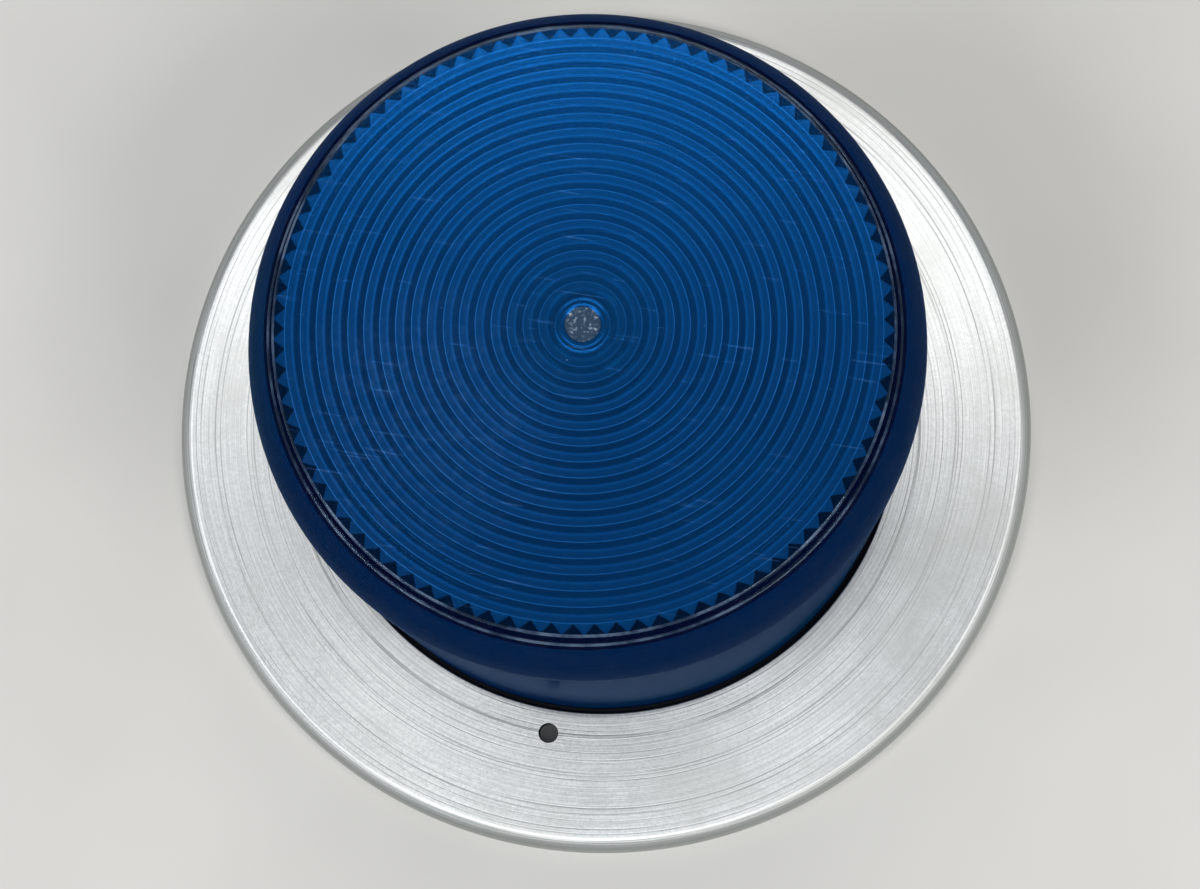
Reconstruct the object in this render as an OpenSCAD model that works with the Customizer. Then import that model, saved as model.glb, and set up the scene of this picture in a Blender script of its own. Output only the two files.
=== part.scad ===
// Horn strobe: a deep blue ringed lens standing through a round aluminium trim flange, with the
// lamp, the horn and the wiring parts that it covers.
// Millimetres. +Z points away from the wall, and z = 0 is the rear plane that meets the wall.
// The origin is on the lens axis. One flange screw hole lies on -Y.

/* [Flange] */
// outside diameter of the trim flange
flange_d = 220; // [216:1:240]
// diameter of the opening that the lens stands through
opening_d = 150.8; // [150.4:0.1:152]
// thickness of the flange sheet
flange_t = 2; // [1.6:0.1:2.4]
// height of the flange's front face above the wall
flange_h = 7; // [7:0.25:8]
// radius of the flange's rounded outer edge
flange_round = 4; // [3:0.5:4.5]
// diameter of each flange screw hole
screw_hole_d = 5; // [4.5:0.1:5]
// diameter of the circle that the flange screw holes lie on
screw_circle_d = 162.8; // [162.6:0.1:168]
// number of flange screw holes
screw_count = 3; // [3:1:4]

/* [Lens] */
// height of the lens face above the wall
lens_h = 114.7; // [114:0.1:120]
// diameter of the lens wall where it leaves the foot lip
lens_base_d = 148; // [147.4:0.1:148.2]
// diameter of the lens wall at the foot of its shoulder
lens_top_d = 147; // [146.6:0.1:147.4]
// radius of the shoulder's curve
shoulder_r = 20.5; // [19:0.5:21]
// diameter of the flat lens face
face_d = 131.2; // [130.6:0.1:131.4]
// height of the small step between the shoulder and the face
step_h = 3.2; // [2.5:0.1:3.4]
// thickness of the lens face
face_t = 3.2; // [2.6:0.1:3.4]
// number of concentric ridges under the face
ring_count = 17; // [10:1:17]
// distance from one ridge to the next
ring_pitch = 3.35; // [3:0.05:3.4]
// depth of each ridge
ring_depth = 0.5; // [0.3:0.1:0.8]
// number of prisms round the inside of the shoulder
prism_count = 90; // [60:6:120]
// depth of each prism, tip to valley
prism_depth = 2.4; // [1.5:0.1:2.6]
// height of the ring of prisms
prism_h = 7.5; // [5:0.5:8]
// diameter of the moulding mark in the middle of the face
gate_d = 8; // [5:0.5:9]

/* [Base] */
// thickness of the base plate
plate_t = 2; // [1.6:0.1:2]
// diameter of the base plate
plate_d = 204; // [190:1:206]
// diameter of the cable bushing's bore
cable_d = 12; // [8:0.5:14]
// distance of the cable hole from the lens axis
cable_y = 52; // [50:0.5:54]

/* [Board] */
// diameter of the circuit board
board_d = 124; // [120:1:126]
// height of the board's underside above the base plate
board_lift = 18; // [17:0.5:20]
// thickness of the circuit board
board_t = 1.6; // [1:0.2:2]
// length of the storage capacitor
capacitor_len = 38; // [30:1:40]
// diameter of the storage capacitor
capacitor_d = 18; // [14:1:18]

/* [Lamp] */
// height of the lamp base above the board
mast_h = 36.4; // [34:0.1:40]
// outside diameter of the flash tube
tube_d = 6; // [5:0.5:6]
// distance between the flash tube's legs
tube_span = 18; // [14:1:20]
// straight length of each leg
tube_leg = 20; // [14:1:22]
// diameter of the reflector
reflector_d = 124; // [110:1:126]

/* [Horn] */
// diameter of the horn housing
horn_d = 56; // [52:1:58]
// height of the horn housing
horn_h = 14; // [13:0.5:15]
// number of sound ports in the base plate
port_count = 8; // [4:1:10]
// diameter of each sound port
port_d = 5; // [3:0.5:6]

/* [Controls] */
// number of wiring terminals
terminal_count = 6; // [2:1:6]
// spacing of the wiring terminals
terminal_pitch = 6.5; // [6:0.1:6.5]
// travel of the light output slider
slider_travel = 6; // [4:1:6]
// travel of each tone lever
lever_travel = 2.2; // [1.6:0.1:2.2]
// running clearance round each moving piece
play = 0.06; // [0.04:0.01:0.08]

/* [Hidden] */

fine = 96;
mid = 48;
small = 24;
over = 1;

flange_r = flange_d / 2;
opening_r = opening_d / 2;
sheet_under = flange_h - flange_t;
screw_r = screw_circle_d / 2;

foot_t = 2;
foot_r = screw_r - screw_hole_d / 2 - 0.5;
foot_top = plate_t + foot_t;
lens_base_r = lens_base_d / 2;
lens_top_r = lens_top_d / 2;
lens_wall = 2.8;
face_r = face_d / 2;
face_under = lens_h - face_t;
shoulder_top = lens_h - step_h;
shoulder_z = shoulder_top - shoulder_r * sin(45);
shoulder_x = lens_top_r - shoulder_r;
shoulder_steps = 6;
ledge_r = shoulder_x + shoulder_r * cos(45);
valley_r = face_r - 0.4;
prism_base = face_under - prism_h;
prism_ledge = 0.8;
ring_outer_r = valley_r - prism_depth - ring_pitch / 2;
gate_depth = 0.5;

gasket_gap = 0.15;
gasket_lip = 0.8;

bushing_r = 11;
bushing_play = 0.1;
horn_pos = [0, 8];
lug_r = horn_d / 2 + 4;
lug_angles = [90, 210, 330];
diaphragm_z = plate_t + horn_h - 3;
diaphragm_t = 0.2;
diaphragm_r = horn_d / 2 - 3;
piezo_t = 0.3;
piezo_r = 15;

board_z = plate_t + board_lift;
deck = board_z + board_t;
board_r = board_d / 2;
board_cut = 38;
standoff_at = [[46, 26], [-46, 26], [-46, -26], [46, -26]];
post_at = [[0, 30], [-26, -15], [26, -15]];

capacitor_y = 46;
capacitor_r = capacitor_d / 2;
core_at = [-42, 2];
core_size = [12, 24, 18];
core_leg = 4;
core_mid = 6;

mast_r = 11;
mast_bore_r = 7;
lamp_z = deck + mast_h;
lamp_base_h = 6;
tube_foot = lamp_z + lamp_base_h;
tube_r = tube_d / 2;
glass_t = 0.8;
cap_h = 5;
wire_r = 0.3;

reflector_z = deck + 24.4;
reflector_t = 0.8;
reflector_flat_r = 36;
reflector_rise = 10;

block_size = [terminal_count * terminal_pitch + 2, 10, 10.4];
block_y = -board_cut + 1;
candela_size = [13, 6, 5];
candela_at = [33, -33];
slider_size = [3, 2, 3.4];
slider_well = 1.8;
trimmer_size = [7, 7, 5];
trimmer_at = [-33, -33];
rotor_r = 2.4;
rotor_h = 2.2;
tone_size = [10, 6, 5];
tone_at = [0, -20.5];
lever_pitch = 2.54;
lever_size = [1.3, 1.6, 2.6];
lever_well = 1.4;

blue = [0.02, 0.22, 0.62, 0.7];
silver = [0.8, 0.81, 0.82];
black = [0.08, 0.08, 0.09];
green = [0.05, 0.3, 0.16];
white = [0.9, 0.9, 0.86];
brass = [0.78, 0.62, 0.3];
copper = [0.72, 0.4, 0.2];
steel = [0.6, 0.61, 0.63];
ferrite = [0.2, 0.2, 0.21];
glass = [0.85, 0.9, 0.95, 0.4];
red = [0.7, 0.12, 0.1];

// three or more copies evenly round the axis, the first on -Y
module round_the_axis(count) {
    for (i = [0 : count - 1]) rotate(i * 360 / count - 90) children();
}

// copies at the listed XY positions
module at(points) {
    for (p = points) translate(p) children();
}

// a box centred on X and Y, standing on z = 0
module standing_box(size) {
    translate([-size[0] / 2, -size[1] / 2, 0]) cube(size);
}

module flange_screw_holes() {
    round_the_axis(screw_count)
        translate([screw_r, 0, -over]) cylinder(h = flange_h + 2 * over, d = screw_hole_d, $fn = mid);
}

// flat sheet, rounded edge and short skirt that meets the wall
module flange_profile() {
    edge_x = flange_r - flange_round;
    edge_z = flange_h - flange_round;
    translate([opening_r, sheet_under]) square([edge_x - opening_r, flange_t]);
    intersection() {
        translate([edge_x, edge_z]) difference() {
            circle(r = flange_round, $fn = mid);
            circle(r = flange_round - flange_t, $fn = mid);
        }
        translate([edge_x, edge_z]) square(flange_round);
    }
    translate([flange_r - flange_t, 0]) square([flange_t, edge_z]);
}

module trim_flange() {
    color(silver) difference() {
        rotate_extrude($fn = fine) flange_profile();
        flange_screw_holes();
    }
}

// outside of the lens, from the foot lip to the axis
module lens_outside() {
    shoulder = [
        for (i = [0 : shoulder_steps])
            let (a = 45 * i / shoulder_steps)
            [shoulder_x + shoulder_r * cos(a), shoulder_z + shoulder_r * sin(a)]
    ];
    polygon(concat(
        [[0, plate_t], [foot_r, plate_t], [foot_r, foot_top], [lens_base_r, foot_top]],
        shoulder,
        [
            [ledge_r - 0.8, shoulder_top],
            [face_r, lens_h - 0.7],
            [face_r - 0.6, lens_h],
            [0, lens_h]
        ]
    ));
}

// hollow under the ring of prisms
module lens_inside() {
    low_r = lens_base_r - lens_wall;
    top_r = lens_top_r - lens_wall;
    cone_r = valley_r + prism_ledge;
    cone_z = prism_base - (top_r - cone_r) * 1.6;
    polygon([
        [0, plate_t - over], [low_r, plate_t - over], [low_r, plate_t], [top_r, cone_z],
        [cone_r, prism_base], [0, prism_base]
    ]);
}

// zig-zag hollow between the prisms
module prism_hollow() {
    step = 360 / prism_count;
    points = [
        for (i = [0 : prism_count - 1], side = [0, 1])
            let (a = (i + side / 2) * step, r = valley_r - side * prism_depth)
            [r * cos(a), r * sin(a)]
    ];
    translate([0, 0, prism_base - 0.5])
        linear_extrude(height = face_under - prism_base + 0.5) polygon(points);
}

// concentric ridges under the face
module face_rings() {
    for (i = [0 : ring_count - 1]) {
        r = ring_outer_r - i * ring_pitch;
        rotate_extrude($fn = fine) polygon([
            [r - ring_pitch / 2 + 0.2, face_under + 0.4], [r - ring_pitch / 2 + 0.2, face_under],
            [r, face_under - ring_depth], [r + ring_pitch / 2 - 0.2, face_under],
            [r + ring_pitch / 2 - 0.2, face_under + 0.4]
        ]);
    }
}

module lens() {
    color(blue) difference() {
        union() {
            difference() {
                rotate_extrude($fn = fine) lens_outside();
                rotate_extrude($fn = fine) lens_inside();
                prism_hollow();
            }
            face_rings();
        }
        translate([0, 0, lens_h - gate_depth]) cylinder(h = over, d = gate_d, $fn = mid);
    }
}

// pad between the foot lip and the flange, with a lip that fills the gap round the lens
module lens_gasket() {
    inner = lens_base_r + gasket_gap;
    color(black) rotate_extrude($fn = fine) union() {
        translate([inner, foot_top]) square([foot_r - inner, sheet_under - foot_top]);
        translate([inner, foot_top])
            square([opening_r - 0.05 - inner, sheet_under - foot_top + gasket_lip]);
    }
}

module sound_ports() {
    translate(horn_pos) for (i = [0 : port_count - 1])
        rotate(i * 360 / port_count) translate([horn_d / 4, 0, -over])
            cylinder(h = plate_t + 2 * over, d = port_d, $fn = small);
}

module horn_lugs(h, r) {
    translate(horn_pos) for (a = lug_angles) rotate(a) translate([lug_r, 0, 0])
        cylinder(h = h, r = r, $fn = small);
}

module base_plate() {
    color(black) difference() {
        cylinder(h = plate_t, d = plate_d, $fn = fine);
        flange_screw_holes();
        translate([0, -cable_y, -over])
            cylinder(h = plate_t + 2 * over, r = bushing_r + bushing_play, $fn = mid);
        sound_ports();
        translate([0, 0, -over]) horn_lugs(plate_t + 2 * over, 1.6);
    }
}

module cable_bushing() {
    color(black) translate([0, -cable_y, 0]) difference() {
        union() {
            cylinder(h = plate_t + 2.5, r = bushing_r, $fn = mid);
            translate([0, 0, plate_t]) cylinder(h = 2.5, r = bushing_r + 2.5, $fn = mid);
        }
        translate([0, 0, -over]) cylinder(h = plate_t + 5, d = cable_d, $fn = mid);
    }
}

// cup whose horn-shaped mouth opens onto the sound ports
module horn_housing() {
    r = horn_d / 2;
    color(black) translate([0, 0, plate_t]) difference() {
        union() {
            translate(horn_pos) cylinder(h = horn_h, r = r, $fn = fine);
            horn_lugs(4, 4);
            translate(horn_pos) for (a = lug_angles) rotate(a)
                translate([r - 3, -4, 0]) cube([7, 8, 4]);
        }
        translate(horn_pos) rotate_extrude($fn = fine) polygon([
            [0, -over], [r - 4, -over], [r - 4, 0], [10, 4], [5, horn_h - 5],
            [r - 5, horn_h - 4.5], [r - 5, horn_h - 3], [diaphragm_r, horn_h - 3],
            [diaphragm_r, horn_h + over], [0, horn_h + over]
        ]);
        translate([0, 0, -over]) horn_lugs(6, 1.6);
    }
}

module horn_diaphragm() {
    color(brass) translate(concat(horn_pos, diaphragm_z))
        cylinder(h = diaphragm_t, r = diaphragm_r - 0.1, $fn = mid);
}

module piezo_disc() {
    color(white) translate(concat(horn_pos, diaphragm_z + diaphragm_t))
        cylinder(h = piezo_t, r = piezo_r, $fn = mid);
}

module horn_clamp_ring() {
    color(steel) translate(concat(horn_pos, diaphragm_z + diaphragm_t)) difference() {
        cylinder(h = 2.4, r = diaphragm_r - 0.1, $fn = mid);
        translate([0, 0, -over]) cylinder(h = 5, r = diaphragm_r - 3, $fn = mid);
    }
}

// pan head screw standing on its seat, shank below
module pan_screw(head_r, head_h, shank_r, shank_h) {
    difference() {
        union() {
            cylinder(h = head_h, r = head_r, $fn = small);
            translate([0, 0, -shank_h]) cylinder(h = shank_h + head_h / 2, r = shank_r, $fn = small);
        }
        translate([0, 0, head_h * 0.45]) standing_box([head_r * 2.2, 0.7, head_h]);
    }
}

module horn_screws() {
    color(steel) translate([0, 0, plate_t + 4]) translate(horn_pos)
        for (a = lug_angles) rotate(a) translate([lug_r, 0, 0]) pan_screw(2.8, 2, 1.5, 5.5);
}

// two short wires from the piezo disc up to the board
module horn_leads() {
    foot = diaphragm_z + diaphragm_t + piezo_t;
    color(red) translate(concat(horn_pos, foot)) at([[-6, 0], [6, 0]])
        cylinder(h = board_z - foot, r = 0.6, $fn = small);
}

module standoffs() {
    color(steel) translate([0, 0, plate_t]) at(standoff_at) difference() {
        cylinder(h = board_lift, r = 3.5, $fn = small);
        translate([0, 0, board_lift - 10]) cylinder(h = 11, r = 1.45, $fn = small);
    }
}

module circuit_board() {
    color(green) translate([0, 0, board_z]) difference() {
        cylinder(h = board_t, r = board_r, $fn = fine);
        translate([-board_r, -board_r - board_cut, -over]) cube([board_d, board_r, board_t + 2 * over]);
        translate([0, 0, -over]) at(standoff_at) cylinder(h = board_t + 2 * over, r = 1.6, $fn = small);
    }
}

module board_screws() {
    color(steel) translate([0, 0, deck]) at(standoff_at) pan_screw(2.8, 2, 1.4, 8);
}

module storage_capacitor() {
    groove = [0.6, 0.6];
    color(black) translate([-capacitor_len / 2, capacitor_y, deck + 2 + capacitor_r])
        rotate([0, 90, 0]) rotate_extrude($fn = mid) difference() {
            square([capacitor_r, capacitor_len]);
            translate([capacitor_r - groove[0], 3]) square(groove);
        }
}

module capacitor_saddle() {
    color(white) difference() {
        translate([0, capacitor_y, deck]) standing_box([24, 14, 6]);
        translate([-20, capacitor_y, deck + 2 + capacitor_r]) rotate([0, 90, 0])
            cylinder(h = 40, r = capacitor_r, $fn = mid);
    }
}

// frame with a middle leg, standing across Y
module transformer_core() {
    window_y = (core_size[1] - core_mid) / 2 - core_leg;
    color(ferrite) translate(concat(core_at, deck)) difference() {
        standing_box(core_size);
        for (side = [-1, 1]) translate([0, side * (core_mid + window_y) / 2, core_leg])
            standing_box([core_size[0] + 2, window_y, core_size[2] - 2 * core_leg]);
    }
}

module transformer_winding() {
    h = core_size[2] - 2 * core_leg - 0.4;
    color(copper) translate(concat(core_at, deck + core_leg + 0.2)) difference() {
        standing_box([core_size[0] + 9, core_size[1] - 2 * core_leg - 0.4, h]);
        translate([0, 0, -over]) standing_box([core_size[0] + 0.2, core_mid + 0.2, h + 2 * over]);
    }
}

module trigger_coil() {
    color(red) translate([-22, 17, deck]) {
        cylinder(h = 12, r = 4, $fn = mid);
        cylinder(h = 1.5, r = 5, $fn = mid);
        translate([0, 0, 10.5]) cylinder(h = 1.5, r = 5, $fn = mid);
    }
}

module switching_transistor() {
    color(black) translate([40.4, 0, deck]) {
        translate([0, -5, 4]) cube([4.6, 10, 15]);
        for (y = [-2.5, 0, 2.5]) translate([2, y - 0.4, 0]) cube([0.6, 0.8, 4.5]);
    }
}

module heat_sink() {
    color(silver) translate([45, -11, deck]) {
        cube([2, 22, 20]);
        for (i = [0 : 4]) translate([1, i * 5, 0]) cube([6, 2, 20]);
    }
}

module driver_chip() {
    color(black) translate([21, 17, deck]) {
        translate([0, 0, 0.6]) standing_box([10, 6.4, 3.2]);
        for (x = [-3.8, -1.27, 1.27, 3.8], side = [-1, 1])
            translate([x, side * 3.6, 0]) standing_box([0.6, 1, 1.6]);
    }
}

module diodes() {
    color(black) for (y = [-24, -18]) translate([15, y, deck + 1.4]) rotate([0, 90, 0]) {
        cylinder(h = 5.2, r = 1.35, $fn = small);
        translate([0, 0, -2]) cylinder(h = 9.2, r = 0.4, $fn = small);
    }
}

// copies at the wiring terminals
module at_terminals() {
    for (i = [0 : terminal_count - 1])
        translate([(i - (terminal_count - 1) / 2) * terminal_pitch, block_y + block_size[1] / 2, deck])
            children();
}

module terminal_block() {
    color(green) difference() {
        translate([0, block_y + block_size[1] / 2, deck]) standing_box(block_size);
        at_terminals() {
            translate([0, 0, 5.6]) cylinder(h = 6, r = 2.4, $fn = small);
            translate([0, 0, 3]) cylinder(h = 4, r = 1.4, $fn = small);
            translate([0, -block_size[1] / 2 - over, 3.4]) rotate([-90, 0, 0])
                cylinder(h = 8, r = 1.6, $fn = small);
        }
    }
}

module terminal_screws() {
    color(steel) at_terminals() translate([0, 0, 6.4]) pan_screw(2.2, 2.2, 1.3, 2.2);
}

// sliding switch whose slider runs along X
module candela_switch() {
    length = slider_size[0] + slider_travel + 2 * play;
    color(black) translate(concat(candela_at, deck)) difference() {
        standing_box(candela_size);
        translate([0, 0, candela_size[2] - slider_well])
            standing_box([length, slider_size[1] + 2 * play, slider_well + over]);
    }
}

module candela_slider() {
    color(white) translate([
        candela_at[0] - slider_travel / 2, candela_at[1], deck + candela_size[2] - slider_well + play
    ]) standing_box(slider_size);
}

module volume_trimmer() {
    color([0.1, 0.2, 0.5]) translate(concat(trimmer_at, deck)) difference() {
        standing_box(trimmer_size);
        translate([0, 0, trimmer_size[2] - rotor_h + 0.6])
            cylinder(h = rotor_h, r = rotor_r + play, $fn = mid);
    }
}

// round rotor with a screwdriver slot
module volume_rotor() {
    color(white) translate(concat(trimmer_at, deck + trimmer_size[2] - rotor_h + 0.6 + play))
        difference() {
            cylinder(h = rotor_h, r = rotor_r, $fn = mid);
            translate([0, 0, rotor_h - 0.9]) standing_box([rotor_r * 3, 0.8, 2]);
        }
}

module tone_switch() {
    length = lever_size[1] + lever_travel + 2 * play;
    color(red) translate(concat(tone_at, deck)) difference() {
        standing_box(tone_size);
        for (i = [-1 : 1]) translate([i * lever_pitch, 0, tone_size[2] - lever_well])
            standing_box([lever_size[0] + 2 * play, length, lever_well + over]);
    }
}

// lever number i (1 to 3), at the -Y end of its slot
module tone_lever(i) {
    color(white) translate([
        tone_at[0] + (i - 2) * lever_pitch,
        tone_at[1] - lever_travel / 2,
        deck + tone_size[2] - lever_well + play
    ]) standing_box(lever_size);
}

module tone_lever_1() { tone_lever(1); }
module tone_lever_2() { tone_lever(2); }
module tone_lever_3() { tone_lever(3); }

module lamp_mast() {
    color(white) translate([0, 0, deck]) difference() {
        union() {
            cylinder(h = mast_h, r = mast_r, $fn = mid);
            cylinder(h = 3, r = mast_r + 3, $fn = mid);
        }
        translate([0, 0, -over]) cylinder(h = mast_h + 2 * over, r = mast_bore_r, $fn = mid);
    }
}

module lamp_base() {
    color(white) translate([0, 0, lamp_z]) difference() {
        union() {
            cylinder(h = lamp_base_h, r = mast_r + 2, $fn = mid);
            translate([0, 0, -3]) cylinder(h = 4, r = mast_bore_r - 0.1, $fn = mid);
        }
        for (side = [-1, 1]) translate([side * tube_span / 2, 0, -over])
            cylinder(h = lamp_base_h + 2 * over, r = 1.1, $fn = small);
    }
}

// three insulated wires up the inside of the mast
module lamp_leads() {
    color(red) translate([0, 0, deck]) for (a = [90, 210, 330]) rotate(a) translate([4, 0, 0])
        cylinder(h = mast_h - 3, r = 1.1, $fn = small);
}

// U-shaped run of a round rod, legs down, centred on the axis
module u_run(r, leg, span, foot) {
    for (side = [-1, 1]) translate([side * span / 2, 0, foot]) cylinder(h = leg, r = r, $fn = mid);
    translate([0, 0, foot + leg]) rotate([90, 0, 0])
        rotate_extrude(angle = 180, $fn = mid) translate([span / 2, 0]) circle(r = r, $fn = small);
}

module flash_tube() {
    color(glass) difference() {
        u_run(tube_r, tube_leg, tube_span, tube_foot + 0.5);
        u_run(tube_r - glass_t, tube_leg - 2, tube_span, tube_foot + 2.5);
    }
}

// end cap and pin on each leg
module tube_electrodes() {
    color(steel) for (side = [-1, 1]) translate([side * tube_span / 2, 0, tube_foot]) {
        difference() {
            cylinder(h = cap_h, r = tube_r + 0.5, $fn = mid);
            translate([0, 0, 0.5]) cylinder(h = cap_h, r = tube_r + 0.02, $fn = mid);
        }
        translate([0, 0, -lamp_base_h]) cylinder(h = lamp_base_h + 0.2, r = 1, $fn = small);
    }
}

// fine wire turns round the legs
module trigger_wire() {
    color(copper) for (side = [-1, 1], i = [0 : 3])
        translate([side * tube_span / 2, 0, tube_foot + cap_h + 2 + i * 3])
            rotate_extrude($fn = mid) translate([tube_r + wire_r + 0.02, 0]) circle(r = wire_r, $fn = small);
}

// flat middle and raised rim
module reflector() {
    r = reflector_d / 2;
    color(silver) difference() {
        rotate_extrude($fn = fine) polygon([
            [mast_r + 5, reflector_z], [reflector_flat_r, reflector_z],
            [r, reflector_z + reflector_rise], [r, reflector_z + reflector_rise + reflector_t],
            [reflector_flat_r, reflector_z + reflector_t], [mast_r + 5, reflector_z + reflector_t]
        ]);
        translate([0, 0, reflector_z - over]) at(post_at) cylinder(h = 4, r = 1.5, $fn = small);
    }
}

module reflector_posts() {
    h = reflector_z - deck;
    color(white) translate([0, 0, deck]) at(post_at) difference() {
        cylinder(h = h, r = 3.2, $fn = small);
        translate([0, 0, h - 8]) cylinder(h = 9, r = 1.3, $fn = small);
    }
}

module reflector_screws() {
    color(steel) translate([0, 0, reflector_z + reflector_t]) at(post_at) pan_screw(2.6, 1.8, 1.25, 7);
}

base_plate();
cable_bushing();
lens();
lens_gasket();
trim_flange();
horn_housing();
horn_diaphragm();
piezo_disc();
horn_clamp_ring();
horn_screws();
horn_leads();
standoffs();
circuit_board();
board_screws();
storage_capacitor();
capacitor_saddle();
transformer_core();
transformer_winding();
trigger_coil();
switching_transistor();
heat_sink();
driver_chip();
diodes();
terminal_block();
terminal_screws();
candela_switch();
candela_slider();
volume_trimmer();
volume_rotor();
tone_switch();
tone_lever_1();
tone_lever_2();
tone_lever_3();
lamp_mast();
lamp_base();
lamp_leads();
flash_tube();
tube_electrodes();
trigger_wire();
reflector();
reflector_posts();
reflector_screws();
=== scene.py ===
"""Horn strobe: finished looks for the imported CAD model, in metres, in the row's own frame."""
import math

import bmesh
import bpy
from mathutils import Matrix, Quaternion, Vector


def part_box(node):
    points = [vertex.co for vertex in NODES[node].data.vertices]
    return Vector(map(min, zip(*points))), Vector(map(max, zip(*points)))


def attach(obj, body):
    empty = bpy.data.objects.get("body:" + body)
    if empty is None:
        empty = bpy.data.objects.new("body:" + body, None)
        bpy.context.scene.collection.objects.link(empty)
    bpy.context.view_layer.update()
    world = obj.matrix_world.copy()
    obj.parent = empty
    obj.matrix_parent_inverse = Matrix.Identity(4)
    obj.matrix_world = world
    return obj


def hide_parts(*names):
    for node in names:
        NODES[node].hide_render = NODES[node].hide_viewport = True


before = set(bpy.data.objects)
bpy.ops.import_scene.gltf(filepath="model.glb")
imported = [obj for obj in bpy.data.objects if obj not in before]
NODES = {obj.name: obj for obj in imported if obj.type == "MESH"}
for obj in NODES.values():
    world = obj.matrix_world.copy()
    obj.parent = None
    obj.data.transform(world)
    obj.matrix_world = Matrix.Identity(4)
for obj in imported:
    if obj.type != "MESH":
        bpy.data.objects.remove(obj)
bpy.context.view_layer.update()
MM = 0.001
ON_AXIS = 1e-9

# the photograph's viewing angle
CAMERA_AT = (0.0388, -0.0990, 0.5631)
CAMERA_AIM = (0.0, -0.0056, 0.0)
CAMERA_ROLL = math.radians(-13.1)
CAMERA_LENS = 66.0
SENSOR = 36.0

# heights and outer radius taken from the CAD boxes
LENS_LOW, LENS_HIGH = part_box("lens")
FLANGE_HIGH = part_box("trim_flange")[1]
LENS_TOP = LENS_HIGH[2]
LENS_FOOT = LENS_LOW[2]
FLANGE_TOP = FLANGE_HIGH[2]
FLANGE_R = FLANGE_HIGH[0] - 0.02 * MM

# outside of the lens
FOOT_R = 78.4 * MM
FOOT_H = 2.0 * MM
FOOT_FILLET = 0.5 * MM
WALL_LOW_R = 74.0 * MM
WALL_TOP_R = 73.5 * MM
WALL_STEPS = 24
SHOULDER_R = 20.5 * MM
SHOULDER_X = WALL_TOP_R - SHOULDER_R
STEP_H = 3.2 * MM
LEDGE_Z = LENS_TOP - STEP_H
SHOULDER_Z = LEDGE_Z - SHOULDER_R * math.sin(math.radians(45))
LEDGE_R = SHOULDER_X + SHOULDER_R * math.cos(math.radians(45))
LEDGE_ROUND = 0.52 * MM
LEDGE_ROUND_IN = 0.75 * MM
STEP_FILLET = 0.45 * MM
STEP_FILLET_OUT = 1.0 * MM
FACE_R = 65.6 * MM
FACE_ROUND = 0.6 * MM
FACE_STEPS = 24

# broken moulding mark in the middle of the face, and the faint rings round it
GATE_R = 4.0 * MM
GATE_DEPTH = 0.5 * MM
GATE_RINGS_W = 2.2 * MM
GATE_RING_H = 0.05 * MM
GATE_RING_STEPS = 13
# recess of the mark, inward: share of its radius, share of its depth
GATE_FLOOR = ((0.94, 0.25), (0.86, 0.5), (0.7, 0.42), (0.5, 0.5), (0.3, 0.38), (0.14, 0.5), (0.0, 0.6))

# inside of the lens
WALL_T = 2.8 * MM
INNER_WALL_STEPS = 12
FACE_T = 3.2 * MM
FACE_UNDER = LENS_TOP - FACE_T
PRISMS = 90
PRISM_DEPTH = 2.4 * MM
PRISM_H = 7.5 * MM
PRISM_STEPS = 4
VALLEY_R = FACE_R - 0.4 * MM
PRISM_BASE = FACE_UNDER - PRISM_H
PRISM_LEDGE = 0.8 * MM
CONE_R = VALLEY_R + PRISM_LEDGE
CONE_SLOPE = 1.6
CONE_Z = PRISM_BASE - (WALL_TOP_R - WALL_T - CONE_R) * CONE_SLOPE
RINGS = 17
RING_PITCH = 3.35 * MM
RING_DEPTH = 0.5 * MM
RING_GAP = 0.2 * MM
RING_OUTER_R = VALLEY_R - PRISM_DEPTH - RING_PITCH / 2
RING_EDGE_R = RING_OUTER_R + RING_PITCH / 2
# section of one ridge: share of its half width, share of its depth
RING_SHAPE = ((-1.0, 0.0), (-0.5, 0.52), (-0.12, 0.95), (0.12, 0.95), (0.5, 0.52), (1.0, 0.0))
LENS_SEGMENTS = PRISMS * 4
# edges sharper than this many degrees stay crisp
LENS_SHARP = 24

# trim flange
OPENING_R = 75.4 * MM
OPENING_LIP = 0.25 * MM
FLANGE_T = 2.0 * MM
FLANGE_ROUND = 4.0 * MM
FLANGE_FOOT_ROUND = 0.15 * MM
FLANGE_FLAT_STEPS = 24
FLANGE_SEGMENTS = 480
FLANGE_SHARP = 28
SCREW_CIRCLE_R = 81.4 * MM
SCREW_HOLE_R = 2.5 * MM
SCREWS = 3
# heights that the drill for the screw holes runs between
DRILL_FROM = -5.0 * MM
DRILL_TO = 20.0 * MM
DRILL_SEGMENTS = 64


# ---------------------------------------------------------------- meshes

def make_object(name, mesh, body):
    """A new object that rides on a CAD body."""
    obj = bpy.data.objects.new(name, mesh)
    bpy.context.scene.collection.objects.link(obj)
    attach(obj, body)
    return obj


def shade(mesh, sharp_degrees):
    """Smooth shading with edges sharper than the angle kept crisp."""
    for polygon in mesh.polygons:
        polygon.use_smooth = True
    mesh.set_sharp_from_angle(angle=math.radians(sharp_degrees))


def arc(centre, radius, start, end, steps):
    """Points on a profile arc, angles in degrees from the outward direction."""
    points = []
    for i in range(steps + 1):
        a = math.radians(start + (end - start) * i / steps)
        points.append((centre[0] + radius * math.cos(a), centre[1] + radius * math.sin(a)))
    return points


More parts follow.
